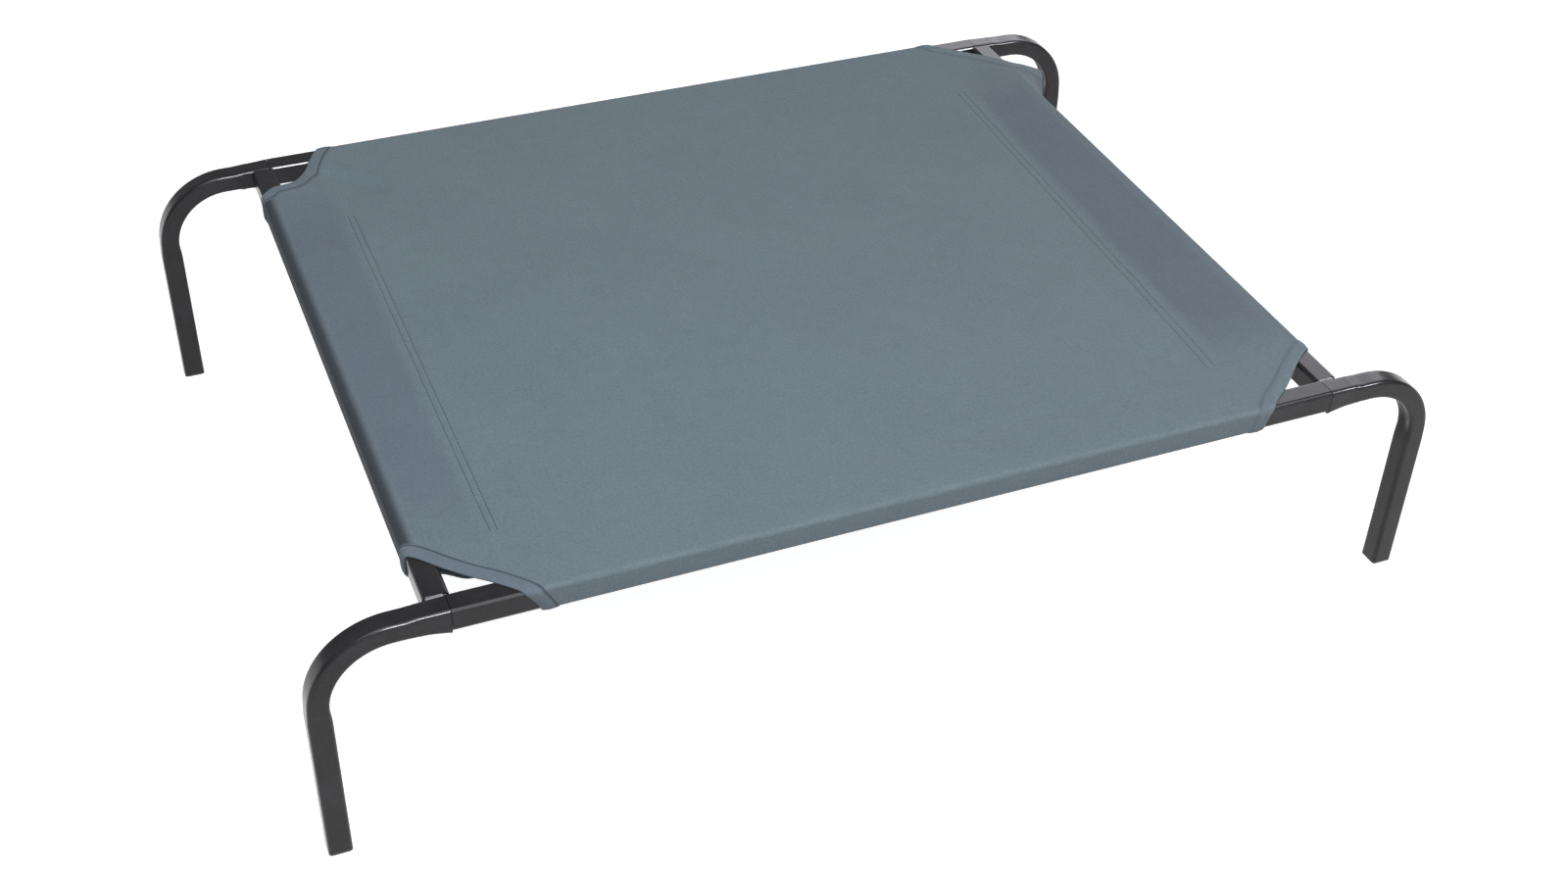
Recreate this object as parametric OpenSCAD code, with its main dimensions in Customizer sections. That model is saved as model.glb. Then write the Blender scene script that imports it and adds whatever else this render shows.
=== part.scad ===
// Raised dog bed: a screwed square-tube frame on four bent legs, with a sewn cloth cover stretched over it.
// Millimetres. X runs along the length, Y along the width, Z is up.
// The origin is on the floor under the middle of the bed.

/* [Overall] */
// Length over the outer faces of the legs
bed_length = 906; // [890:2:1300]
// Width over the outer faces of the long rails
bed_width = 636; // [450:2:900]
// Height of the top of the rails above the floor
frame_height = 203; // [160:1:320]
// Distance between the outer faces of the two side rails
side_rail_span = 728; // [520:2:740]

/* [Tubes] */
// Side of the square rail tube
rail_size = 19; // [18:0.5:22]
// Side of the square leg tube
leg_size = 17.6; // [16:0.2:18.4]
// Wall thickness of both tubes
tube_wall = 1.2; // [0.8:0.1:2]
// Outside corner radius of the rail tube
rail_corner = 3; // [2:0.5:4]
// Centre-line radius of the bend in each leg
bend_radius = 56; // [45:1:60]

/* [Corner joints] */
// How far the mouth of a leg lies inboard of the side rail's outer face
mouth_inset = 15; // [12:1:24]
// Length of the reduced spigot at each end of a long rail
spigot_length = 36; // [28:1:40]
// Length of the belled mouth of a leg
bell_length = 9; // [5:1:14]
// How far the bell stands out below the leg tube
bell_rise = 2.6; // [1:0.1:4]
// Length of the stub that a side rail slides over
stub_length = 30; // [24:1:45]
// Shank radius of the frame screws
screw_radius = 2.5; // [2:0.5:4]
// Head radius of the frame screws
screw_head_radius = 4.75; // [4:0.25:7]

/* [Cover] */
// Thickness of the cloth
cloth = 1; // [0.6:0.1:2]
// Clearance between the cloth and the rails
cloth_gap = 0.3; // [0.2:0.1:1]
// Width of the side hems, from the outer face of the rail to the stitching
side_hem = 68; // [45:1:110]
// Width of the front and back hems
long_hem = 50; // [45:1:110]
// Width of the tape sewn over the cut corners
tape_width = 11; // [6:0.5:16]
// Thickness of that tape
tape = 0.7; // [0.4:0.1:1.2]
// Cut-away at the front left corner, along the front rail and along the side rail
cut_front_left = [72, 66]; // [45:1:110]
// Cut-away at the front right corner
cut_front_right = [70, 60]; // [45:1:110]
// Cut-away at the back left corner
cut_back_left = [62, 64]; // [45:1:110]
// Cut-away at the back right corner
cut_back_right = [62, 58]; // [45:1:110]

/* [Feet] */
// Thickness of the flange under each leg
foot_flange = 2; // [1:0.5:5]
// Length of the plug inside each leg
foot_plug = 14; // [8:1:25]

/* [Hidden] */
$fn = 48;
// name, side along X, side along Y, cut-away of the cover
CORNERS = [
    ["front_left", -1, -1, cut_front_left],
    ["front_right", 1, -1, cut_front_right],
    ["back_left", -1, 1, cut_back_left],
    ["back_right", 1, 1, cut_back_right],
];
CORNER_PARTS = ["leg", "foot_cap", "corner_stub", "rail_screw", "side_screw", "weld_nut", "corner_binding"];

frame_colour = [0.17, 0.17, 0.18];
cloth_colour = [0.42, 0.48, 0.53];
tape_colour = [0.36, 0.42, 0.47];
steel_colour = [0.5, 0.5, 0.52];
plastic_colour = [0.06, 0.06, 0.07];

rail_z = frame_height - rail_size / 2;      // centre height of the rails
long_rail_y = bed_width / 2 - rail_size / 2;
side_rail_x = side_rail_span / 2 - rail_size / 2;
side_face_x = side_rail_span / 2;           // outer face of a side rail
mouth_x = side_face_x - mouth_inset;        // where a leg begins
joint_gap = 0.5;                            // between tube ends that meet
contact_gap = 0.05;                         // between faces that are pressed together
slide_play = 0.4;                           // of a plug inside a tube
leg_bore = leg_size - 2 * tube_wall;
leg_corner = rail_corner - 0.3;
leg_x = bed_length / 2 - leg_size / 2;      // centre of the upright run
bend_x = leg_x - bend_radius;
bend_z = rail_z - bend_radius;
spigot_size = leg_bore - slide_play;
spigot_bore = spigot_size - 2 * tube_wall;
rail_bore = rail_size - 2 * tube_wall;
stub_size = rail_bore - 1.5 * slide_play;
side_rail_end_y = bed_width / 2 - rail_size - joint_gap;
rail_screw_x = mouth_x + spigot_length * 0.65;
side_screw_inset = 18;                      // from the inner face of a long rail
side_screw_y = bed_width / 2 - rail_size - side_screw_inset;
rail_screw_length = 9;
side_screw_length = 11;
hole_radius = screw_radius + 0.3;           // clearance hole
thread_radius = screw_radius + contact_gap; // threaded hole
head_height = 2.7;
dome_radius = 1.4 * screw_head_radius;      // of the round top of a head
hex_radius = 1.7;                           // of the key socket
nut_size = min(10, spigot_bore - 0.6);
nut_height = 4;
plug_wall = 2;                              // of a foot cap's plug

cloth_z = frame_height + cloth_gap;         // underside of the top sheet
cover_x = side_face_x + cloth_gap + cloth;  // outer faces of the sleeves
cover_y = bed_width / 2 + cloth_gap + cloth;
sleeve_stop = rail_size + 7.5;              // where a sleeve ends short of the crossing rail

// ---- sections ----

// Points of a square with round corners
function rounded_square(size, radius, steps = 4) = [
    for (q = [[1, 1, 0], [-1, 1, 90], [-1, -1, 180], [1, -1, 270]])
    for (i = [0:steps])
    let (turn = q[2] + 90 * i / steps, inset = size / 2 - radius)
    [q[0] * inset + radius * cos(turn), q[1] * inset + radius * sin(turn)]
];

// Section of a square tube
module tube_section(size, bore, radius) {
    difference() {
        polygon(rounded_square(size, radius));
        polygon(rounded_square(bore, max(0.4, radius - (size - bore) / 2)));
    }
}

// A length of square tube along X, from x = from to x = to
module tube_along_x(from, to, size, bore, radius) {
    translate([from, 0, 0]) rotate([90, 0, 90]) linear_extrude(to - from) tube_section(size, bore, radius);
}

// Puts a part made at the back right corner at another corner
module at_corner(c) {
    mirror([c[1] < 0 ? 1 : 0, 0, 0]) mirror([0, c[2] < 0 ? 1 : 0, 0]) children();
}

// ---- frame ----

// A long rail with a reduced spigot at each end
module long_rail(side) {
    body_end = mouth_x - joint_gap;
    shoulder = 2; // length of the swaged step behind a spigot
    spigot_corner = 1.6;
    color(frame_colour)
    translate([0, side * long_rail_y, rail_z]) {
        tube_along_x(-body_end, body_end, rail_size, rail_bore, rail_corner);
        for (end = [0, 1]) mirror([end, 0, 0]) difference() {
            union() {
                tube_along_x(body_end - shoulder, body_end, rail_size - 1, spigot_bore, rail_corner - 0.5);
                tube_along_x(body_end, mouth_x + spigot_length, spigot_size, spigot_bore, spigot_corner);
            }
            translate([rail_screw_x, 0, -spigot_size]) cylinder(r = hole_radius, h = spigot_size);
        }
    }
}

// A side rail, open at both ends, with a screw hole underneath near each end
module side_rail(side) {
    color(frame_colour)
    translate([side * side_rail_x, 0, rail_z]) difference() {
        rotate([90, 0, 0]) linear_extrude(2 * side_rail_end_y, center = true)
            tube_section(rail_size, rail_bore, rail_corner);
        for (end = [-1, 1]) translate([0, end * side_screw_y, -rail_size])
            cylinder(r = hole_radius, h = rail_size);
    }
}

// A leg: belled mouth, straight run, quarter bend and upright run
module leg(c) {
    bell_size = leg_size + bell_rise;
    color(frame_colour)
    at_corner(c) translate([0, long_rail_y, 0]) difference() {
        union() {
            translate([0, 0, rail_z]) {
                tube_along_x(mouth_x, bend_x, leg_size, leg_bore, leg_corner);
                bell(bell_size);
            }
            translate([bend_x, 0, bend_z]) rotate([90, 0, 0]) rotate_extrude(angle = 90, $fn = 96)
                translate([bend_radius, 0]) tube_section(leg_size, leg_bore, leg_corner);
            translate([leg_x, 0, foot_flange]) linear_extrude(bend_z - foot_flange)
                tube_section(leg_size, leg_bore, leg_corner);
        }
        translate([rail_screw_x, 0, rail_z - leg_size]) cylinder(r = hole_radius, h = leg_size);
    }
}

// The thickened mouth of a leg: flared upwards, downwards and outwards, flat towards the side rail
module bell(size) {
    steps = 3;
    for (i = [0:steps - 1]) {
        rise = (size - leg_size) * (1 - i / steps);
        from = mouth_x + bell_length * i / steps;
        intersection() {
            tube_along_x(from, from + bell_length / steps, leg_size + rise, leg_bore, leg_corner);
            translate([from, -leg_size / 2, -size]) cube([bell_length, size + leg_size, 2 * size]);
        }
    }
}

// A solid bar welded to the inner face of a leg; a side rail slides over it
module corner_stub(c) {
    face_y = long_rail_y - leg_size / 2;
    stub_corner = 1.4;
    relief = 1.5; // clears the back of the long rail
    hole_depth = stub_size / 2 + 3; // of the blind threaded hole
    color(steel_colour)
    at_corner(c) translate([side_rail_x, face_y, rail_z]) difference() {
        rotate([90, 0, 0]) linear_extrude(stub_length) polygon(rounded_square(stub_size, stub_corner));
        translate([-stub_size, -relief, -stub_size])
            cube([mouth_x - side_rail_x + stub_size + joint_gap, stub_size, 2 * stub_size]);
        translate([0, side_screw_y - face_y, -stub_size / 2 - 1])
            cylinder(r = thread_radius, h = hole_depth + 1);
    }
}

// Plastic plug that closes the bottom end of a leg
module foot_cap(c) {
    plug_size = leg_bore - slide_play;
    color(plastic_colour)
    at_corner(c) translate([leg_x, long_rail_y, 0]) {
        linear_extrude(foot_flange) polygon(rounded_square(leg_size, leg_corner));
        translate([0, 0, foot_flange]) linear_extrude(foot_plug)
            tube_section(plug_size, plug_size - 2 * plug_wall, 1.5);
    }
}

// Button-head screw pointing up, its head's flat side at z = 0
module frame_screw(length) {
    color(steel_colour) {
        cylinder(r = screw_radius, h = length);
        difference() {
            translate([0, 0, -head_height]) intersection() {
                cylinder(r = screw_head_radius, h = head_height);
                translate([0, 0, dome_radius - 0.5]) sphere(r = dome_radius);
            }
            translate([0, 0, -head_height - 1]) cylinder(r = hex_radius, h = head_height - 0.2, $fn = 6);
        }
    }
}

// Screw through the underside of a leg into the weld nut
module rail_screw(c) {
    at_corner(c) translate([rail_screw_x, long_rail_y, rail_z - leg_size / 2 - contact_gap])
        frame_screw(rail_screw_length);
}

// Screw through the underside of a side rail into the stub
module side_screw(c) {
    at_corner(c) translate([side_rail_x, side_screw_y, rail_z - rail_size / 2 - contact_gap])
        frame_screw(side_screw_length);
}

// Square nut on the floor of a spigot
module weld_nut(c) {
    color(steel_colour)
    at_corner(c) translate([rail_screw_x, long_rail_y, rail_z - spigot_bore / 2 + contact_gap]) difference() {
        translate([-nut_size / 2, -nut_size / 2, 0]) cube([nut_size, nut_size, nut_height]);
        translate([0, 0, -1]) cylinder(r = thread_radius, h = nut_height + 2);
    }
}

// ---- cover ----

// The two ends of the cut at a corner, as if it were the back right one
function cut_ends(c) = [
    [cover_x, bed_width / 2 - c[3][1]],
    [side_face_x - c[3][0], cover_y]
];

// Outline of the cover from above: a rectangle with its corners cut away
module cover_outline() {
    function end(c, i) = [c[1] * cut_ends(c)[i][0], c[2] * cut_ends(c)[i][1]];
    polygon([
        end(CORNERS[3], 0), end(CORNERS[3], 1), end(CORNERS[2], 1), end(CORNERS[2], 0),
        end(CORNERS[0], 0), end(CORNERS[0], 1), end(CORNERS[1], 1), end(CORNERS[1], 0)
    ]);
}

// Section of a sleeve: x runs inboard from the rail's outer face to the stitching, y is the height
module sleeve_section(hem) {
    outer = -cloth_gap - cloth;
    inner = rail_size + cloth_gap;
    bottom = frame_height - rail_size - cloth_gap;
    joined = 2.5; // width over which the two layers are one at the stitching
    difference() {
        polygon([
            [outer, cloth_z + cloth], [outer, bottom - cloth], [inner + cloth, bottom - cloth],
            [hem, cloth_z - cloth], [hem, cloth_z + cloth]
        ]);
        polygon([
            [-cloth_gap, cloth_z], [-cloth_gap, bottom], [inner + cloth / 2, bottom], [hem - joined, cloth_z]
        ]);
    }
}

module sleeper_cover() {
    side_length = bed_width - 2 * sleeve_stop;
    long_length = side_rail_span - 2 * sleeve_stop;
    color(cloth_colour) {
        translate([0, 0, cloth_z]) linear_extrude(cloth) cover_outline();
        intersection() {
            translate([0, 0, frame_height - 2 * rail_size]) linear_extrude(3 * rail_size) cover_outline();
            union() {
                for (side = [0, 1]) mirror([side, 0, 0])
                    translate([side_face_x, side_length / 2, 0]) rotate([90, 0, 0])
                        linear_extrude(side_length) mirror([1, 0, 0]) sleeve_section(side_hem);
                for (side = [0, 1]) mirror([0, side, 0])
                    translate([-long_length / 2, bed_width / 2, 0]) rotate([90, 0, 90])
                        linear_extrude(long_length) mirror([1, 0, 0]) sleeve_section(long_hem);
            }
        }
    }
}

// Tape folded over the cut edge at a corner, running down the outer face of both sleeves
module corner_binding(c) {
    ends = cut_ends(c);
    run = ends[1] - ends[0];
    along = run / norm(run);
    inward = [-along[1], along[0]];
    reach = tape + contact_gap;
    overrun = 12; // of a strip past the ends of the cut, before it is clipped
    sleeve_bottom = frame_height - rail_size - cloth_gap - cloth;
    tape_top = cloth_z + cloth + reach;
    // a strip beside the cut edge, between two distances inboard of it
    module strip(from, to) {
        polygon([
            ends[0] - overrun * along + from * inward, ends[1] + overrun * along + from * inward,
            ends[1] + overrun * along + to * inward, ends[0] - overrun * along + to * inward
        ]);
    }
    module clipped(margin) {
        intersection() {
            children();
            square([2 * (cover_x + margin), 2 * (cover_y + margin)], center = true);
        }
    }
    color(tape_colour)
    at_corner(c) {
        translate([0, 0, tape_top - tape]) linear_extrude(tape) clipped(reach) strip(-reach, tape_width);
        translate([0, 0, cloth_z + 2 * contact_gap])
            linear_extrude(cloth) clipped(0) strip(-reach, -contact_gap);
        translate([cover_x + contact_gap, ends[0][1] - tape_width, sleeve_bottom])
            cube([tape, tape_width, tape_top - sleeve_bottom]);
        translate([ends[1][0] - tape_width, cover_y + contact_gap, sleeve_bottom])
            cube([tape_width, tape, tape_top - sleeve_bottom]);
    }
}

// ---- the nodes ----

long_rail(-1);  // front_rail
long_rail(1);  // back_rail
side_rail(-1);  // left_rail
side_rail(1);  // right_rail
sleeper_cover();
for (c = CORNERS) {
    leg(c);
    foot_cap(c);
    corner_stub(c);
    rail_screw(c);
    side_screw(c);
    weld_nut(c);
    corner_binding(c);
}
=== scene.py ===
"""Raised dog bed: legs, rails, stretched cover, taped corners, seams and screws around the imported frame."""

import math

import bmesh
import bpy
import numpy as np
from bpy.props import FloatProperty, FloatVectorProperty, PointerProperty
from mathutils import Matrix, Vector


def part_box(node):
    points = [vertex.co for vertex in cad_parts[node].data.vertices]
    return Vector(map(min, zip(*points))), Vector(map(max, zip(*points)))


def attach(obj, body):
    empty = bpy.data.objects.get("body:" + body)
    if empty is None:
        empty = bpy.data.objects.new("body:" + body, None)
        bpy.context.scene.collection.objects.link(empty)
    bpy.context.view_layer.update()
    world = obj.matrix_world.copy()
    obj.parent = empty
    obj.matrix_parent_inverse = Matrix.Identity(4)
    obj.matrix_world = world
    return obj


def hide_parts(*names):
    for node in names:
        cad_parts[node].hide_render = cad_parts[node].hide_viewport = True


bl_info = {
    "name": "Raised dog bed",
    "version": (1, 0, 0),
    "blender": (4, 5, 0),
    "location": "3D View > Sidebar > Dog bed",
    "description": "Builds the looks of a raised dog bed round its frame",
    "category": "Object",
}

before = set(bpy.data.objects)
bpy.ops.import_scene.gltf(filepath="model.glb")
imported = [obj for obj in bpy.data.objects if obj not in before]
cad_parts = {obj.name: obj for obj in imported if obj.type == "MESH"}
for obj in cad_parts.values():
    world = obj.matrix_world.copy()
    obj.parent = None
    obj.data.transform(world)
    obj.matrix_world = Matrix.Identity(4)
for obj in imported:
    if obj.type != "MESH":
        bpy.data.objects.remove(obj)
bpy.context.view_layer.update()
BODY = "root"
MM = 0.001

# ---- places taken from the frame; the bed is the same on both sides of its middle ----

CORNERS = {"front_left": (-1, -1), "front_right": (1, -1), "back_left": (-1, 1), "back_right": (1, 1)}
LONG_LOW, LONG_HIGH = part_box("back_rail")
FOOT_LOW, FOOT_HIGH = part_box("foot_cap_back_right")
LEG_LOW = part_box("leg_back_right")[0]
SIDE_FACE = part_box("right_rail")[1].x
LONG_FACE = LONG_HIGH.y
RAIL_TOP = LONG_HIGH.z
RAIL_SIZE = RAIL_TOP - LONG_LOW.z
RAIL_Z = RAIL_TOP - RAIL_SIZE / 2
LEG_SIZE = FOOT_HIGH.x - FOOT_LOW.x
LEG_X = (FOOT_LOW.x + FOOT_HIGH.x) / 2
LEG_Y = (FOOT_LOW.y + FOOT_HIGH.y) / 2
MOUTH_X = LEG_LOW.x
LEG_END_Z = LEG_LOW.z
RAILS = ["front_rail", "back_rail", "left_rail", "right_rail"]
# A difference too small to matter, in metres
TINY = 1e-9


# ---- settings ----


def amount(name, description, default, **more):
    """A number property."""
    return FloatProperty(name=name, description=description, default=default, **more)


def length(name, description, default, low=0.0, high=1.0):
    """A length property in metres."""
    return amount(name, description, default, min=low, max=high, unit="LENGTH", precision=5)


def colour(name, description, default):
    """A linear colour property."""
    return FloatVectorProperty(
        name=name, description=description, default=default, size=3, min=0.0, max=1.0, subtype="COLOR"
    )


def spot(name, description, default):
    """A point property."""
    return FloatVectorProperty(name=name, description=description, default=default, subtype="TRANSLATION")


class DogBedLegSettings(bpy.types.PropertyGroup):
    """Shape of the bent legs"""

    bend_radius: length("Bend radius", "Centre-line radius of the bend", 0.056, 0.03, 0.1)
    corner: length("Corner radius", "Outside corner radius of the leg tube", 0.0027, 0.001, 0.005)
    wall: length("Wall", "Wall thickness of the leg tube", 0.0012, 0.0005, 0.003)
    bell_length: length("Bell length", "Length over which the mouth flares", 0.019, 0.005, 0.04)
    bell_below: length("Bell below", "How far the mouth stands out below the leg", 0.0032, 0.0, 0.005)
    bell_above: length(
        "Bell above", "How far the mouth stands out above and outside the leg", 0.0007, 0.0, 0.004
    )
    pinch: length("Pinch", "How much flatter the tube is in the bend", 0.0017, 0.0, 0.004)
    groove: length("Groove", "Depth of the groove pressed into the inside of the bend", 0.0024, 0.0, 0.005)


class DogBedCoverSettings(bpy.types.PropertyGroup):
    """Shape of the cloth cover"""

    thickness: length("Cloth thickness", "Thickness of the cloth", 0.0009, 0.0004, 0.002)
    gap: length("Gap", "Clearance between the cloth and the rails", 0.0003, 0.0001, 0.001)
    rail_corner: length("Rail corner", "Outside corner radius of the rail tube", 0.003, 0.001, 0.005)
    side_hem: length("Side hem", "From the outer face of a side rail to the seam", 0.066, 0.045, 0.11)
    long_hem: length("Long hem", "From the outer face of a long rail to the seam", 0.050, 0.045, 0.11)
    hem_tail: length("Hem tail", "Cloth left past the seam under the top sheet", 0.009, 0.002, 0.02)
    sag: length("Sag", "How far the middle hangs below the rails", 0.0035, 0.0, 0.02)
    tape_width: length("Tape width", "Width of the tape over the cut corners", 0.0112, 0.005, 0.016)
    tape_thickness: length("Tape thickness", "Thickness of that tape", 0.00055, 0.0003, 0.0012)


class DogBedStitchSettings(bpy.types.PropertyGroup):
    """Size of the stitches"""

    pitch: length("Pitch", "From one stitch to the next", 0.0032, 0.001, 0.008)
    run: length("Stitch length", "Length of thread that shows", 0.0027, 0.001, 0.008)
    thread: length("Thread radius", "Radius of the thread", 0.00034, 0.0001, 0.001)


class DogBedColourSettings(bpy.types.PropertyGroup):
    """Colours of the pieces"""

    coat: colour("Powder coat", "Frame and legs", (0.0125, 0.0115, 0.0135))
    coat_fleck: colour("Coat fleck", "Lighter flecks in the powder coat", (0.040, 0.038, 0.044))
    cloth: colour("Cloth", "Cover cloth", (0.132, 0.180, 0.211))
    cloth_dark: colour("Cloth shade", "Darker threads of the cover", (0.090, 0.129, 0.157))
    # A darker, bluer cloth colour, used in the band between the side seams and the rails
    hem: colour("Hem", "Cover cloth over the side hems", (0.096, 0.134, 0.174))
    # Painted shade: this near-black navy on the side sleeves' outer faces stands in for the shade that falls
    # on them
    sleeve: colour("Sleeve", "Outer faces of the side sleeves", (0.008, 0.015, 0.026))
    tape: colour("Tape", "Tape over the cut corners", (0.112, 0.152, 0.190))
    thread: colour("Thread", "Thread of the side seams and the tape", (0.022, 0.040, 0.058))
    thread_pale: colour("Pale thread", "Thread of the front and back seams", (0.105, 0.145, 0.175))
    zinc: colour("Zinc", "Stubs and nuts", (0.55, 0.55, 0.56))
    oxide: colour("Black oxide", "Screws", (0.030, 0.030, 0.031))
    plastic: colour("Plastic", "Foot caps", (0.020, 0.020, 0.022))


class DogBedStageSettings(bpy.types.PropertyGroup):
    """Camera, floor and lights"""

    eye: spot("Eye", "Where the camera stands", (-0.5422, -1.3123, 1.1223))
    aim: spot("Aim", "Point that the camera looks at", (0.0322, 0.0151, 0.0))
    roll: amount("Roll", "Turn of the camera about its view", 0.031, subtype="ANGLE")
    lens: amount("Lens", "Focal length in millimetres", 46.5, min=10.0, max=200.0)
    floor: colour("Floor", "Colour of the floor", (0.50, 0.50, 0.50))
    glow: amount("Floor glow", "Light that the floor gives off", 0.85, min=0.0)
    room: amount("Room light", "Strength of the light from all round", 0.32, min=0.0)
    floor_size: length("Floor size", "Side of the floor", 14.0, 2.0, 40.0)


class DogBedSettings(bpy.types.PropertyGroup):
    """Everything that a user would change"""

    leg: PointerProperty(type=DogBedLegSettings)
    cover: PointerProperty(type=DogBedCoverSettings)
    stitch: PointerProperty(type=DogBedStitchSettings)
    colours: PointerProperty(type=DogBedColourSettings)
    stage: PointerProperty(type=DogBedStageSettings)


# ---- materials ----


class Wire:
    """A number on its way through a material: arithmetic on it adds Math nodes."""

    def __init__(self, finish, socket):
        self.finish, self.socket = finish, socket

    def math(self, operation, *values):
        return self.finish.add("ShaderNodeMath", {"operation": operation}, dict(enumerate(values)))

    def __add__(self, other):
        return self.math("ADD", self, other)

    def __sub__(self, other):
        return self.math("SUBTRACT", self, other)

    def __rsub__(self, other):
        return self.math("SUBTRACT", other, self)

    def __mul__(self, other):
        return self.math("MULTIPLY", self, other)

    def __abs__(self):
        return self.math("ABSOLUTE", self)

    def sin(self):
        return self.math("SINE", self)

    def over(self, other):
        """The larger of the two."""
        return self.math("MAXIMUM", self, other)

    def between(self, low, high):
        """0 at low and below, 1 at high and above, and smooth in between."""
        values = {"Value": self, "From Min": low, "From Max": high}
        return self.finish.add("ShaderNodeMapRange", {"interpolation_type": "SMOOTHSTEP"}, values)

    __radd__ = __add__
    __rmul__ = __mul__


# Sockets of a Mix node that mixes colours
MIX_FACTOR, MIX_FIRST, MIX_SECOND, MIX_RESULT = 0, 6, 7, 2


class Finish:
    """A material under construction."""

    def __init__(self, name):
        self.material = bpy.data.materials.new(name)
        self.material.use_nodes = True
        self.tree = self.material.node_tree
        self.tree.nodes.clear()

    def node(self, kind, settings=None, values=None):
        """Adds a node: its settings first, then the values or links of its sockets."""
        node = self.tree.nodes.new(kind)
        for name, value in (settings or {}).items():
            setattr(node, name, value)
        for name, value in (values or {}).items():
            if isinstance(value, Wire):
                self.tree.links.new(value.socket, node.inputs[name])
            else:
                node.inputs[name].default_value = value
        return node

    def add(self, kind, settings=None, values=None, output=0):
        return Wire(self, self.node(kind, settings, values).outputs[output])

    def place(self, scale=(1, 1, 1), turn=0.0, flat=False):
        """Object coordinates, or the flat cloth's own, stretched by scale and turned about Z."""
        source = self.add("ShaderNodeTexCoord", output="UV" if flat else "Object")
        values = {"Vector": source, "Rotation": (0, 0, turn), "Scale": scale}
        return self.add("ShaderNodeMapping", None, values)

    def axes(self, turn=0.0):
        """The flat cloth's two coordinates."""
        split = self.node("ShaderNodeSeparateXYZ", None, {0: self.place(turn=turn, flat=True)})
        return [Wire(self, split.outputs[axis]) for axis in (0, 1)]

    def noise(self, where, scale, detail=2.0):
        return self.add("ShaderNodeTexNoise", None, {"Vector": where, "Scale": scale, "Detail": detail})

    def mix(self, factor, first, second):
        """A colour between two colours."""
        values = {MIX_FACTOR: factor, MIX_FIRST: opaque(first), MIX_SECOND: opaque(second)}
        return self.add("ShaderNodeMix", {"data_type": "RGBA"}, values, MIX_RESULT)

    def bump(self, height, distance, strength, under=None):
        """A surface direction with height, on top of another one."""
        values = {"Height": height, "Distance": distance, "Strength": strength}
        return self.add("ShaderNodeBump", None, {**values, "Normal": under} if under else values)

    def surface(self, **values):
        """The finished surface. Sockets are named with _ for a space."""
        named = {name.replace("_", " "): value for name, value in values.items()}
        shader = self.add("ShaderNodeBsdfPrincipled", None, named)
        self.node("ShaderNodeOutputMaterial", None, {"Surface": shader})
        return self.material


def opaque(value):
    """A colour with full alpha, or the wire as it is."""
    return value if isinstance(value, Wire) else (*value, 1.0)


def dim(tint, share):
    """The same colour, darker or lighter."""
    return tuple(share * v for v in tint)


def powder_coat(c):
    """Semi-gloss powder coat with fine orange peel and lighter flecks."""
    f = Finish("powder_coat")
    where = f.place()
    peel = f.noise(where, 650)
    fleck = f.noise(where, 2600, 1).between(0.56, 0.74)
    cloud = f.noise(where, 28, 3)
    return f.surface(
        Base_Color=f.mix(cloud.between(0.35, 0.75) * 0.3 + fleck * 0.4, c.coat, c.coat_fleck),
        Roughness=0.19 + cloud * 0.12 + fleck * 0.08,
        Specular_IOR_Level=0.18,
        Coat_Weight=0.18,
        Coat_Roughness=0.10,
        Normal=f.bump(peel, 0.00006, 0.5),
    )


def plain_weave(f, pitch, turn):
    """Height of a plain weave on the flat cloth, 0 to 1: each thread arches over every second other."""
    across, along = ((axis * (math.pi / pitch)).sin() for axis in f.axes(turn))
    over = across * along * 0.5 + 0.5
    return (abs(across) * over).over(abs(along) * (1 - over))


# The bluer cloth between the side seams and the rails, in metres: how far in it reaches on the left, how
# much further on the right and how much of that is lost per metre of Y, how it fades in beside the rail,
# out before the seam and out towards the corners, and its strength on the left
HEM_REACH, HEM_MORE, HEM_LEAN = 0.060, 0.0115, 0.028
HEM_FROM_RAIL, HEM_TO_SEAM, HEM_TO_CORNER = (0.002, 0.014), (-0.012, 0.002), (0.17, 0.28)
HEM_LEFT = 0.7
# Where the painted shade on the outer faces of the side sleeves starts, from the rails' outer faces, and its
# strength on the right
SLEEVE_PAINTED_SHADE_START = (-0.0105, -0.003)
SLEEVE_PAINTED_SHADE_RIGHT = 0.1


def hem_zones(f):
    """1 on the flat cloth between the side seams and the rails, and 1 on the side sleeves' outer faces, where
    shade is painted.
    """
    x, y = f.axes()
    inset = SIDE_FACE - abs(x)
    right = x.between(-0.01, 0.01)
    seam = HEM_REACH + right * (HEM_MORE - y * HEM_LEAN)
    beside = inset.between(*HEM_FROM_RAIL) * (1 - (inset - seam).between(*HEM_TO_SEAM))
    beside = beside * (1 - abs(y).between(*HEM_TO_CORNER)) * (HEM_LEFT + right * (1 - HEM_LEFT))
    return beside, (abs(x) - SIDE_FACE).between(*SLEEVE_PAINTED_SHADE_START) * (1 - right * (1 - SLEEVE_PAINTED_SHADE_RIGHT))


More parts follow.
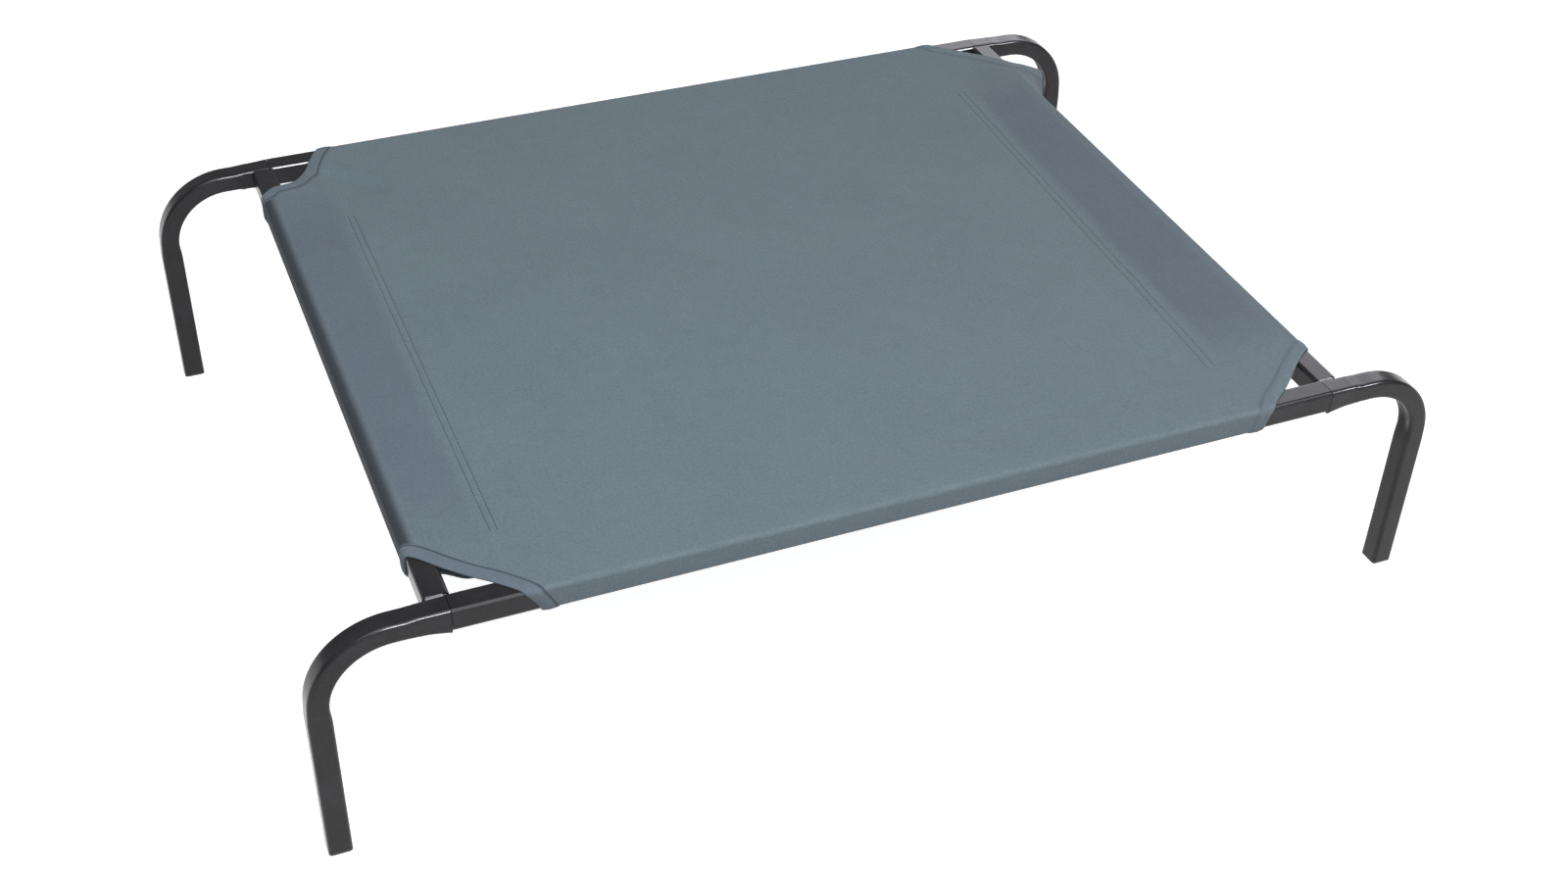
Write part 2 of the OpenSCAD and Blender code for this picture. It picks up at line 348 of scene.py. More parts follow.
def cover_cloth(c, name, light, dark, pitch=0.00085, turn=0.0, line=None, mark=0.85):
    """Plain-weave polyester with uneven threads and faint clouding. On tape, line is how far in its stitches
    run, and mark is the strength of a dark line painted along them in the thread's colour: partly the thread,
    partly painted shade of the groove they press in."""
    f = Finish(name)
    weave = plain_weave(f, pitch, turn)
    warp, weft = (f.noise(f.place(scale, turn, flat=True), 1) for scale in ((60, 1400, 1), (1400, 60, 1)))
    slub = (warp + weft) * 0.5
    flat = f.place(flat=True)
    grain, cloud, mottle = f.noise(flat, 420), f.noise(flat, 9, 3), f.noise(flat, 75)
    shade = slub.between(0.36, 0.66) * 0.30 + (1 - weave) * 0.12
    for patches, weight in ((grain, 0.42), (cloud, 0.16), (mottle, 0.14)):
        shade = shade + patches.between(0.3, 0.7) * weight
    if line is None:
        hem, sleeve = hem_zones(f)
        tint = f.mix(shade, f.mix(hem, light, c.hem), f.mix(hem, dark, dim(c.hem, 0.72)))
        # Painted shade: the side sleeves' outer faces are darkened towards near-black navy, fully on the left
        # and faintly on the right
        tint = f.mix(sleeve * 0.95, tint, c.sleeve)
    else:
        away = abs(f.axes()[1] - line)
        # Painted shade: a dark line in the thread's colour along the tape's stitches, for the thread and the
        # shade of the groove they press in
        tint = f.mix((1 - away.between(0.0005, 0.0012)) * mark, f.mix(shade, light, dark), c.thread)
    woven = f.bump(weave, 0.00016, 0.55)
    return f.surface(
        Base_Color=tint,
        Roughness=0.78 + grain * 0.12,
        Specular_IOR_Level=0.25,
        Sheen_Weight=0.10,
        Sheen_Roughness=0.5,
        Normal=f.bump(slub + grain * 0.6, 0.00022, 0.35, woven),
    )


def sewing_thread(name, tint):
    """Twisted polyester thread."""
    f = Finish(name)
    fuzz = f.noise(f.place(), 5200)
    return f.surface(
        Base_Color=f.mix(fuzz.between(0.3, 0.75) * 0.5, tint, dim(tint, 0.55)),
        Roughness=0.62 + fuzz * 0.2,
        Specular_IOR_Level=0.35,
        Normal=f.bump(fuzz, 0.0001, 0.5),
    )


def bright_zinc(c):
    """Zinc plating with faint drawn lines and dull patches."""
    f = Finish("bright_zinc")
    drawn = f.noise(f.place((40, 40, 1800)), 1, 3)
    patch = f.noise(f.place(), 140, 3)
    return f.surface(
        Base_Color=f.mix(patch.between(0.35, 0.7) * 0.5, c.zinc, dim(c.zinc, 0.7)),
        Metallic=1.0,
        Roughness=0.28 + patch * 0.2 + drawn * 0.08,
        Normal=f.bump(drawn, 0.00004, 0.4),
    )


def black_oxide(c):
    """Oiled black oxide on steel, rubbed lighter in places."""
    f = Finish("black_oxide")
    rub = f.noise(f.place(), 420, 4)
    return f.surface(
        Base_Color=f.mix(rub.between(0.55, 0.8) * 0.45, c.oxide, dim(c.oxide, 4)),
        Metallic=0.85,
        Roughness=0.34 + rub * 0.2,
        Normal=f.bump(rub, 0.00003, 0.4),
    )


def moulded_plastic(c):
    """Spark-textured black plastic."""
    f = Finish("moulded_plastic")
    spark = f.noise(f.place(), 2100)
    return f.surface(
        Base_Color=f.mix(spark.between(0.5, 0.8) * 0.4, c.plastic, dim(c.plastic, 2.2)),
        Roughness=0.5 + spark * 0.2,
        Specular_IOR_Level=0.4,
        Normal=f.bump(spark, 0.00008, 0.6),
    )


def floor_paint(tint, glow):
    """Pale matt paint that gives off white light."""
    f = Finish("studio_floor")
    return f.surface(
        Base_Color=f.mix(f.noise(f.place(), 1.5), tint, dim(tint, 0.985)),
        Roughness=0.9,
        Specular_IOR_Level=0.1,
        Emission_Color=(1, 1, 1, 1),
        Emission_Strength=glow,
    )


# ---- mesh helpers ----


def piece(name, vertices, faces, material, smooth_under=40.0):
    """A finished mesh piece at the origin, with smooth faces and sharp edges past an angle."""
    mesh = bpy.data.meshes.new(name)
    mesh.from_pydata([tuple(v) for v in vertices], [], faces)
    mesh.materials.append(material)
    mesh.polygons.foreach_set("use_smooth", [True] * len(mesh.polygons))
    mesh.set_sharp_from_angle(angle=math.radians(smooth_under))
    mesh.update()
    obj = bpy.data.objects.new(name, mesh)
    bpy.context.scene.collection.objects.link(obj)
    return obj


def face_outwards(obj):
    """Turns the faces of a closed piece so that they point out."""
    shape = bmesh.new()
    shape.from_mesh(obj.data)
    bmesh.ops.recalc_face_normals(shape, faces=shape.faces)
    shape.to_mesh(obj.data)
    shape.free()


def ring_faces(first, second, count):
    """Faces between two closed rings of points, given by the number of their first point."""
    return [(first + i, first + (i + 1) % count, second + (i + 1) % count, second + i) for i in range(count)]


def step_up(value, low, high):
    """0 below low, 1 above high, smooth in between."""
    t = np.clip((value - low) / (high - low), 0.0, 1.0)
    return t * t * (3.0 - 2.0 * t)


def dress(names, material):
    """Gives CAD nodes a material."""
    for name in names:
        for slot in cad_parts[name].material_slots:
            slot.material = material


# ---- legs ----


# Steps along a leg's mouth, level run, bend and upright
LEG_STEPS = [step * MM for step in (1.0, 1.5, 2.0, 4.0)]


def leg_stations(s):
    """Rows of distance from the mouth, centre x and z, and the outward direction in x and z, then where the
    bend starts and ends."""
    bend_x, bend_z = LEG_X - s.bend_radius, RAIL_Z - s.bend_radius
    start = bend_x - MOUTH_X
    end = start + s.bend_radius * math.pi / 2
    whole = end + bend_z - LEG_END_Z
    stops = (0.0, s.bell_length, start, end, whole)
    runs = [np.arange(low, high, step) for low, high, step in zip(stops, stops[1:], LEG_STEPS)]
    along = np.append(np.concatenate(runs), whole)
    angle = np.clip((along - start) / s.bend_radius, 0.0, math.pi / 2)
    x = MOUTH_X + np.minimum(along, start) + s.bend_radius * np.sin(angle)
    z = RAIL_Z - s.bend_radius * (1 - np.cos(angle)) - np.maximum(along - end, 0.0)
    return along, x, z, np.sin(angle), np.cos(angle), start, end


def section_plan(per_corner=5, per_side=6):
    """For each point round a rounded square: where its corner's centre lies, and its direction from there."""
    signs = ((1, 1), (-1, 1), (-1, -1), (1, -1))
    plan = []
    for q, (sr, sy) in enumerate(signs):
        for i in range(per_corner + 1):
            turn = math.pi / 2 * (q + i / per_corner)
            plan.append((sr, sy, math.cos(turn), math.sin(turn)))
        next_r, next_y = signs[(q + 1) % 4]
        for i in range(1, per_side):
            t = i / per_side
            plan.append((sr + (next_r - sr) * t, sy + (next_y - sy) * t, math.cos(turn), math.sin(turn)))
    return np.array(plan)


# What the bending tool leaves on a leg, in millimetres: where the flattening and the groove fade in after the
# start of the bend and out after its end, the groove's half width, and the tool's mark: place after the start
# of the bend, half width and depth
PINCH_FADES = (-16, -9), (-4, 10)
GROOVE_FADES = (4, 20), (-16, 2)
GROOVE_HALF = 4.4
TOOL_MARK = (-15, 1.6, 0.35)
# Between which shares of the tube's half depth the groove deepens
GROOVE_SIDE = (0.55, 0.95)
# How much the tube widens in the bend, as a share of its flattening
BULGE = 0.15
# The smallest corner radius, and the power of the curve by which a mouth flares
LEAST_CORNER, BELL_CURVE = 0.8 * MM, 1.4


def faded(along, start, end, fades):
    """1 along the bend, fading in and out."""
    (in_low, in_high), (out_low, out_high) = np.array(fades) * MM
    fade_in = step_up(along, start + in_low, start + in_high)
    return fade_in * (1 - step_up(along, end + out_low, end + out_high))


def leg_skin(s, inset):
    """Points of the leg's skin, a ring at each station; the bore is the same skin moved in by the wall."""
    along, x, z, out_x, out_z, start, end = leg_stations(s)
    plan = section_plan()
    half = LEG_SIZE / 2 - inset
    corner = max(s.corner - inset, LEAST_CORNER)
    flare = np.clip(1 - along / s.bell_length, 0, 1) ** BELL_CURVE if not inset else np.zeros_like(along)
    pinched = faded(along, start, end, PINCH_FADES)
    grooved = faded(along, start, end, GROOVE_FADES)
    place, mark_half, mark_depth = (value * MM for value in TOOL_MARK)
    mark = np.exp(-(((along - start - place) / mark_half) ** 2)) * mark_depth
    rings = []
    for k in range(len(along)):
        depth = half - s.pinch / 2 * pinched[k] - mark[k]
        width = half + BULGE * s.pinch * pinched[k]
        r = plan[:, 0] * (depth - corner) + corner * plan[:, 2]
        y = plan[:, 1] * (width - corner) + corner * plan[:, 3]
        r += np.where(r > 0, s.bell_above, -s.bell_below) * flare[k] * np.abs(r) / depth
        y += np.where(y > 0, s.bell_above * flare[k] * y / width, 0.0)
        inner = step_up(-r, *(depth * share for share in GROOVE_SIDE))
        r += inner * grooved[k] * s.groove * np.exp(-((y / (GROOVE_HALF * MM)) ** 2))
        rings.append(np.stack([x[k] + r * out_x[k], LEG_Y + y, z[k] + r * out_z[k]], axis=1))
    return rings


def leg_mesh(s):
    """Vertices and faces of one leg at the back right corner: outer skin, bore and the two ends."""
    outer, bore = leg_skin(s, 0.0), leg_skin(s, s.wall)
    count = len(outer[0])
    rings = outer + bore[::-1]
    faces = []
    for k in range(len(rings)):
        faces += ring_faces(k * count, (k + 1) % len(rings) * count, count)
    return np.concatenate(rings), faces


# ---- cover ----

# Where the cloth is cut away, in millimetres: (distance along the long rail, distance along the side rail)
# from the rails' outer corner. A minus runs down the outer face of the rail and on under it.
CUTS = {
    "front_left": [
        (-94, 46), (-62, 49), (-36, 62), (-18, 66), (0, 65), (21, 44),
        (35, 30), (49, 18), (66, 0), (78, -20), (84, -78),
    ],
    "front_right": [(-94, 64), (-20, 60), (0, 58), (17, 46), (43, 22), (69, 0), (77, -20), (80, -78)],
    "back_left": [
        (-94, 72), (-20, 68), (0, 65), (11, 56), (30, 52),
        (39, 43), (56, 10), (62, 0), (68, -20), (72, -78),
    ],
    "back_right": [(-94, 64), (-20, 60), (0, 58), (17, 42), (40, 21), (60, 0), (66, -20), (70, -78)],
}
# Rows of stitches seen from above, in millimetres: (inset from the side face, distance behind the front face)
SIDE_ROWS = {
    "left": [((61.5, 70), (61.5, 511)), ((66.8, 70), (66.8, 511))],
    "right": [((88.2, 65), (75.0, 534)), ((81.8, 65), (68.8, 534))],
}
# The front and back seams, in millimetres: insets from the long faces, and how far from the side faces the
# seams start
LONG_ROWS = (44.0, 50.0)
LONG_ROW_ENDS = 104.0
# How the rows dent the cloth: depth and half width in millimetres, and over which share of a row this fades
SIDE_DENT = (0.42, 1.3, 0.04)
LONG_DENT = (0.14, 1.8, 0.08)
# Height in cloth thicknesses by which a sleeve's seam lies below the top sheet
SEAM_DROP = 1.15
# The right sleeve isn't sewn past the back end of its seam, so it stands away from the rail there: where this
# starts and is complete in Y and how steeply it sets in, the sleeve's slope from the top fold and the angle
# by which it doubles back, in degrees, how far along the sleeve it does so, and in how many shapes it opens
FLAP_START, FLAP_END, FLAP_EASE = 0.178, 0.262, 0.6
FLAP_SLOPE, FLAP_BACK = 17.0, 172.0
FLAP_BEND = (0.041, 0.050)
FLAP_STEPS = 8
# How far the under layer of a sleeve hangs near the corners, where that starts on the side and the long
# sleeves, and how far before the fold of the crossing sleeve it is complete
HANG = 0.009
HANG_START = (0.19, 0.25)
HANG_END = 55 * MM
# How far in from the rails' outer faces the cloth starts to follow its own shape, and where it does so fully
FREE_CLOTH = (15 * MM, 48 * MM)
# Waves in the cloth: height in millimetres, then for two crossing waves the radians per metre in X and in Y
# and the start in radians
WAVES = [(0.30, (31, 9, 1.3), (-6, 27, 0.4)), (0.16, (71, -38, 2.1), (20, 62, 4.0))]
# Half-way point of each corner cut on the cover's grid, inboard of both outer faces
BLOCK = 33 * MM
# How far from the long faces the grid starts to follow the side seams, and how far beyond the rows of
# stitches it does so, in millimetres
SEAM_CLEAR = 110 * MM
SEAM_BAND = 6.0
# Soft valleys in the cloth, in millimetres from the front left corner: start, end, depth and half width
CREASES = [
    ((48, 604), (96, 548), 5.0, 9.0),
    ((66, 556), (96, 538), 2.4, 4.0),
    ((58, 588), (70, 520), 1.2, 8.0),
    ((70, 40), (130, 78), 0.5, 8.0),
    ((52, 60), (60, 130), 0.4, 9.0),
    ((655, 60), (600, 100), 1.2, 10.0),
    ((672, 40), (590, 62), 1.0, 6.0),
    ((690, 70), (668, 140), 0.9, 8.0),
    ((668, 580), (600, 520), 1.2, 12.0),
    ((690, 560), (672, 480), 0.9, 8.0),
]


class Cover:
    """Lays the flat-cut cloth on the bed. A flat point (s, t) lies at the bed's (x, y) on the top sheet, and
    past a rail it runs down the rail's outer face, under it, and back up to the seam."""

    def __init__(self, s):
        self.settings = s
        self.offset = s.gap + s.thickness / 2
        self.radius = s.rail_corner + self.offset
        self.top = RAIL_TOP + self.offset
        self.faces = (SIDE_FACE, LONG_FACE)
        self.hems = (s.side_hem, s.long_hem)
        self.folds = [face + self.offset - self.radius for face in self.faces]
        self.profiles = [self.sleeve(hem) for hem in self.hems]
        self.reach = [fold + profile[0][-1] for fold, profile in zip(self.folds, self.profiles)]
        opening = [self.loosened(k / FLAP_STEPS) for k in range(1, FLAP_STEPS + 1)]
        self.flap = [self.profiles[0], *opening]

    def sleeve(self, hem):
        """Distances along a sleeve from the top fold, how far inboard of its outer face, and how far down."""
        wrap, r, s = RAIL_SIZE + 2 * self.offset, self.radius, self.settings
        seam = np.array([hem + self.offset, SEAM_DROP * s.thickness])
        to_seam = seam - (wrap - r)
        lift = math.asin(r / math.hypot(*to_seam)) - math.atan2(to_seam[1], to_seam[0])
        quarter = np.linspace(0, math.pi / 2, 7)
        rise = np.linspace(0, lift, 4)
        points = np.concatenate([
            np.stack([r - r * np.sin(quarter), r - r * np.cos(quarter)], axis=1),
            np.stack([r - r * np.cos(quarter), wrap - r + r * np.sin(quarter)], axis=1),
            np.stack([wrap - r + r * np.sin(rise), wrap - r + r * np.cos(rise)], axis=1),
            [seam, seam + (s.hem_tail, 0)],
        ])
        steps = np.hypot(*np.diff(points, axis=0).T)
        return np.append(0, np.cumsum(steps)), points[:, 0], points[:, 1]

    def loosened(self, part):
        """The side sleeve's profile, turned part of the way from its closed shape to a free flap."""
        run, inboard, drop = self.profiles[0]
        fine = np.linspace(0, run[-1], 160)
        inboard, drop = np.interp(fine, run, inboard), np.interp(fine, run, drop)
        closed = np.unwrap(np.arctan2(np.diff(drop), -np.diff(inboard)))
        free = np.radians(FLAP_SLOPE + FLAP_BACK * step_up(fine[1:], *FLAP_BEND))
        turn, step = closed + (free - closed) * part, fine[1]
        inboard = inboard[0] - np.append(0, np.cumsum(np.cos(turn) * step))
        return fine, inboard, np.append(0, np.cumsum(np.sin(turn) * step))

    def relief(self, x, y):
        """How far the cloth lies above the plane of the rails at a point seen from above."""
        s = self.settings
        left, front = SIDE_FACE + x, LONG_FACE + y
        free = step_up(np.minimum(left, SIDE_FACE - x), *FREE_CLOTH)
        free = free * step_up(np.minimum(front, LONG_FACE - y), *FREE_CLOTH)
        height = -s.sag * (1 - (x / SIDE_FACE) ** 2) * (1 - (y / LONG_FACE) ** 2)
        for size, *waves in WAVES:
            one, two = (np.sin(a * x + b * y + start) for a, b, start in waves)
            height += size * MM * one * two
        for start, end, depth, width in CREASES:
            height -= depth * MM * self.valley(left, front, start, end, width, 0.5)
        height *= free
        depth, *shape = SIDE_DENT
        pucker = 1 + 0.35 * np.sin(y * 380) * np.sin(y * 147 + 1)
        for rows in SIDE_ROWS.values():
            for start, end in rows:
                if rows is SIDE_ROWS["right"]:
                    start, end = [(2 * SIDE_FACE / MM - p[0], p[1]) for p in (start, end)]
                height -= depth * MM * pucker * self.valley(left, front, start, end, *shape)
        depth, *shape = LONG_DENT
        for inset in LONG_ROWS:
            for row in (inset, 2 * LONG_FACE / MM - inset):
                ends = (LONG_ROW_ENDS, row), (2 * SIDE_FACE / MM - LONG_ROW_ENDS, row)
                height -= depth * MM * self.valley(left, front, *ends, *shape)
        return height

    @staticmethod
    def valley(x, y, start, end, width, fade):
        """1 along a line between two points, fading past its half width and towards its ends."""
        start, end = np.array(start) * MM, np.array(end) * MM
        run = end - start
        span = np.hypot(*run)
        along = ((x - start[0]) * run[0] + (y - start[1]) * run[1]) / span**2
        across = ((x - start[0]) * run[1] - (y - start[1]) * run[0]) / span
        ends = step_up(along, -fade / 2, fade / 2) * step_up(1 - along, -fade / 2, fade / 2)
        return np.exp(-((across / (width * MM)) ** 2)) * ends

    def at(self, s, t):
        """Points of the bed's cloth, as rows of x, y and z, for arrays of flat points."""
        flat = [np.asarray(s, float), np.asarray(t, float)]
        place, height, follow = [], np.full(flat[0].shape, self.top), np.ones(flat[0].shape)
        opened = np.clip((flat[1] - FLAP_START) / (FLAP_END - FLAP_START), 0, 1) ** FLAP_EASE
        opened = opened * (flat[0] > 0) * FLAP_STEPS
        for axis, (value, fold, face, hem) in enumerate(zip(flat, self.folds, self.faces, self.hems)):
            past = np.abs(value) - fold
            inward, drop = np.zeros(past.shape), np.zeros(past.shape)
            shapes = self.flap if axis == 0 else [self.profiles[1]]
            for k, profile in enumerate(shapes):
                weight = np.clip(1 - np.abs(opened - k), 0, 1) if axis == 0 else 1.0
                inward += weight * np.interp(past, profile[0], profile[1])
                drop += weight * np.interp(past, profile[0], profile[2])
            under = (inward - RAIL_SIZE - 2 * self.offset) / (hem - RAIL_SIZE)
            hang_end = self.folds[1 - axis] - HANG_END
            hang = HANG * step_up(np.abs(flat[1 - axis]), HANG_START[axis], hang_end)
            drop += hang * np.sin(math.pi * np.clip(under, 0, 1)) ** 2 * (past > 2 * self.radius)
            place.append(np.where(past > 0, np.sign(value) * (face + self.offset - inward), value))
            height = height - np.where(past > 0, drop, 0)
            follow = np.where(past > 2 * self.radius, step_up(under, 0, 1), follow)
        x, y = place
        return np.stack([x, y, height + follow * self.relief(x, y)], axis=-1)

    def normal(self, s, t):
        """The cloth's outer side at flat points."""
        step = 0.2 * MM
        s, t = np.asarray(s, float), np.asarray(t, float)
        across = self.at(s + step, t) - self.at(s - step, t)
        along = self.at(s, t + step) - self.at(s, t - step)
        normal = np.cross(across, along)
        return normal / np.linalg.norm(normal, axis=-1, keepdims=True)

    def cut(self, corner, samples=400):
        """The cut edge at a corner as flat points, from under the side rail to under the long rail."""
        across, along = CORNERS[corner]
        curve = smooth_line(np.array(CUTS[corner], float) * MM, samples)
        return np.stack([across * (SIDE_FACE - curve[:, 0]), along * (LONG_FACE - curve[:, 1])], axis=1)


def smooth_line(points, samples):
    """A curve through points, evenly spaced along its length (centripetal Catmull-Rom)."""
    padded = np.concatenate([[2 * points[0] - points[1]], points, [2 * points[-1] - points[-2]]])
    curve = []
    for i in range(1, len(padded) - 2):
        p = padded[i - 1 : i + 3]
        k = np.append(0, np.cumsum(np.sqrt(np.hypot(*np.diff(p, axis=0).T))))
        spans = [[(k[0], k[1]), (k[1], k[2]), (k[2], k[3])], [(k[0], k[2]), (k[1], k[3])], [(k[1], k[2])]]
        for t in np.linspace(k[1], k[2], 24, endpoint=False):
            row = list(p)
            for level in spans:
                pairs = zip(row, row[1:], level)
                row = [a + (b - a) * (t - low) / (high - low) for a, b, (low, high) in pairs]
            curve.append(row[0])
    return evenly(np.array([*curve, points[-1]]), samples)


def evenly(curve, samples):
    """The same line with evenly spaced points."""
    run = np.append(0, np.cumsum(np.linalg.norm(np.diff(curve, axis=0), axis=1)))
    want = np.linspace(0, run[-1], samples)
    return np.stack([np.interp(want, run, curve[:, k]) for k in range(curve.shape[1])], axis=1)


def ticks(stops):
    """Places along an axis: each stop is a place and the largest step from it to the next."""
    places = []
    for (start, step), (end, _) in zip(stops, stops[1:]):
        count = max(1, math.ceil((end - start) / step - TINY))
        places += list(np.linspace(start, end, count, endpoint=False))
    return np.array([*places, stops[-1][0]])


def cover_axis(cover, axis, bands):
    """Grid places along one axis of the flat cloth, finer round the rail and in the bands."""
    fold, turn, under = cover.folds[axis], math.pi / 2 * cover.radius, cover.profiles[axis][0][-3]
    face_end = turn + RAIL_SIZE + 2 * cover.offset - 2 * cover.radius
    low = [
        (-cover.reach[axis], 5 * MM),
        (-fold - under, 4.5 * MM),
        (-fold - face_end - turn, 1.2 * MM),
        (-fold - face_end, 4.5 * MM),
        (-fold - turn, 1.0 * MM),
        (-fold, 2.6 * MM),
        (BLOCK - cover.faces[axis], 4.2 * MM),
    ]
    places, steps = zip(*low)
    high = list(zip([-place for place in places[::-1]], [*steps[-2::-1], 0.0]))
    inner = []
    for start, end in bands:
        inner += [(start, 0.85 * MM), (end, 4.2 * MM)]
    return ticks(low + inner + high)


def cover_grid(cover):
    """Flat places of the cover's grid points as two arrays, and which of the points are cloth."""
    outer, inner = (row[0][0] for row in SIDE_ROWS["left"])
    left = [inset * MM - SIDE_FACE for inset in (outer - SEAM_BAND, inner + SEAM_BAND)]
    mean = [(a[0] + b[0]) / 2 * MM for a, b in SIDE_ROWS["right"]]
    right = [SIDE_FACE - inset for inset in (mean[0] + SEAM_BAND * MM, mean[1] - SEAM_BAND * MM)]
    xs = cover_axis(cover, 0, [left, right])
    ys = cover_axis(cover, 1, [])
    s, t = np.meshgrid(xs, ys, indexing="ij")
    cloth = ~((np.abs(s) > SIDE_FACE - BLOCK + TINY) & (np.abs(t) > LONG_FACE - BLOCK + TINY))
    move = np.zeros((2, *s.shape))
    fixed = np.zeros((2, *s.shape), bool)
    fixed[0] |= np.abs(s) > cover.folds[0] - TINY
    fixed[1] |= np.abs(t) > cover.folds[1] - TINY
    # the seam on the right leans, and the columns beside it lean with it
    (near_inset, near), (far_inset, far) = SIDE_ROWS["right"][0]
    lean = (near_inset - far_inset) / (far - near)
    clear = np.abs(t) < LONG_FACE - SEAM_CLEAR
    in_band = clear & (s > right[0] - TINY) & (s < right[1] + TINY)
    move[0] = np.where(in_band, lean * (t + LONG_FACE - (near + far) / 2 * MM), move[0])
    fixed[0] |= in_band | (clear & (s > left[0] - TINY) & (s < left[1] + TINY))
    for corner, (across, along) in CORNERS.items():
        fit_cut(cover, corner, across, along, xs, ys, move, fixed)
    settle(move, fixed, cloth, xs, ys)
    return s + move[0], t + move[1], cloth


def fit_cut(cover, corner, across, along, xs, ys, move, fixed):
    """Moves the grid points round a corner's missing block onto its cut edge."""
    i_block = int(np.argmin(np.abs(xs - across * (SIDE_FACE - BLOCK))))
    j_block = int(np.argmin(np.abs(ys - along * (LONG_FACE - BLOCK))))
    i_line = range(i_block + 1) if across < 0 else range(len(xs) - 1, i_block - 1, -1)
    j_line = range(j_block, -1, -1) if along < 0 else range(j_block, len(ys))
    edge = cover.cut(corner, 1200)
    past = np.abs(edge) > cover.folds
    on_side = [i for i in i_line if abs(xs[i]) > cover.folds[0] + TINY]
    on_long = [j for j in j_line if abs(ys[j]) > cover.folds[1] + TINY]
    out, level = ordered(edge[past[:, 0]], 0)
    for i in on_side:
        move[1, i, j_block] = np.interp(abs(xs[i]), out, level) - ys[j_block]
        fixed[1, i, j_block] = True
    out, level = ordered(edge[past[:, 1]], 1)
    for j in on_long:
        move[0, i_block, j] = np.interp(abs(ys[j]), out, level) - xs[i_block]
        fixed[0, i_block, j] = True
    ring = [(i, j_block) for i in i_line if i not in on_side]
    ring += [(i_block, j) for j in j_line if j not in on_long and j != j_block]
    for (i, j), (s, t) in zip(ring, evenly(edge[~past.any(axis=1)], len(ring))):
        move[:, i, j] = s - xs[i], t - ys[j]
        fixed[:, i, j] = True


def ordered(edge, axis):
    """How far out along an axis an edge's points lie, rising, and where they lie along the other axis."""
    edge = edge[np.argsort(np.abs(edge[:, axis]))]
    return np.abs(edge[:, axis]), edge[:, 1 - axis]


def settle(move, fixed, cloth, xs, ys, rounds=2500):
    """Spreads the fixed moves over the rest of the grid as evenly as a soap film."""
    dx, dy = np.diff(xs)[:, None], np.diff(ys)[None, :]
    wide, deep = np.gradient(xs)[:, None], np.gradient(ys)[None, :]
    across = deep / dx * (cloth[1:] & cloth[:-1])
    along = wide / dy * (cloth[:, 1:] & cloth[:, :-1])
    total = np.zeros(cloth.shape)
    total[1:] += across
    total[:-1] += across
    total[:, 1:] += along
    total[:, :-1] += along
    total = np.maximum(total, TINY)
    for axis in (0, 1):
        free = cloth & ~fixed[axis]
        for _ in range(rounds):
            pull = np.zeros(cloth.shape)
            pull[1:] += across * move[axis, :-1]
            pull[:-1] += across * move[axis, 1:]
            pull[:, 1:] += along * move[axis, :, :-1]
            pull[:, :-1] += along * move[axis, :, 1:]
            move[axis] = np.where(free, pull / total, move[axis])


def make_cover(cover, material):
    """The cloth as one sheet, with its flat places kept as a UV map in metres, and its flat area."""
    s, t, cloth = cover_grid(cover)
    inside = cloth[:-1, :-1] & cloth[1:, :-1] & cloth[1:, 1:] & cloth[:-1, 1:]
    number = np.full(s.shape, -1)
    number[cloth] = np.arange(cloth.sum())
    i, j = np.nonzero(inside)
    faces = np.stack([number[i, j], number[i + 1, j], number[i + 1, j + 1], number[i, j + 1]], axis=1)
    flat = np.stack([s[cloth], t[cloth]], axis=1)
    obj = piece("cover_cloth", cover.at(*flat.T), faces.tolist(), material, 180.0)
    lay_out(obj.data, flat)
    corners = flat[faces]
    one, two = corners[:, 2] - corners[:, 0], corners[:, 3] - corners[:, 1]
    area = float(np.abs(one[:, 0] * two[:, 1] - one[:, 1] * two[:, 0]).sum() / 2)
    thick = obj.modifiers.new("Thickness", "SOLIDIFY")
    thick.thickness = cover.settings.thickness
    thick.offset = 0.0
    return obj, area


def lay_out(mesh, flat):
    """Keeps flat places, in metres, as the mesh's UV map."""
    layer = mesh.uv_layers.new(name="flat")
    index = np.zeros(len(mesh.loops), np.int32)
    mesh.loops.foreach_get("vertex_index", index)
    layer.data.foreach_set("uv", flat[index].astype(np.float32).ravel())


# ---- tape over the cut corners ----


# Clearance between the tape and the cloth
TAPE_CLEAR = 0.06 * MM
# Where the stitches run across the tape, as a share of its width from the cut edge
STITCH_PLACE = 0.86
# Points along a taped edge, and how far apart they are on the tape's flat pattern
TAPE_POINTS, TAPE_STEP = 150, 1.6 * MM
# How far short of a sleeve's inner end the stitches in the tape stop
TAPE_STITCH_END = 0.02


def inward(edge, corner):
    """Unit directions in the flat cloth that point from a cut edge into the cloth."""
    run = np.gradient(edge, axis=0)
    run /= np.linalg.norm(run, axis=1, keepdims=True)
    side = np.stack([-run[:, 1], run[:, 0]], axis=1)
    across, along = CORNERS[corner]
    return side if across * along > 0 else -side


def tape_section(s, cloth):
    """Closed outline of the folded tape: (distance inboard of the cut edge, height above mid-cloth)."""
    low, w = cloth / 2 + TAPE_CLEAR, s.tape_width
    high = low + s.tape_thickness
    above = [
        (w, low),
        (w, high - 0.15 * MM),
        (w - 0.25 * MM, high),
        (STITCH_PLACE * w, high - 0.12 * MM),
        (0.7 * w, high + 0.35 * MM),
        (0.45 * w, high + 0.6 * MM),
        (0.2 * w, high + 0.3 * MM),
        (0.3 * MM, high),
        (-0.5 * MM, 0.75 * high),
        (-0.85 * MM, 0.3 * high),
    ]
    outside = above + [(d, -h) for d, h in above[::-1]]
    inside = [(0.6 * w, low), (0.3 * w, low), (0.15 * MM, low)]
    return np.array(outside + [(d, -h) for d, h in inside] + inside[::-1])


def taped_edge(cover, corner, spare):
    """Evenly spaced points of a corner's cut edge, up to a distance short of the sleeves' inner ends."""
    edge = evenly(cover.cut(corner), TAPE_POINTS)
    return edge[(np.abs(edge) < np.array(cover.reach) - spare).all(axis=1)]


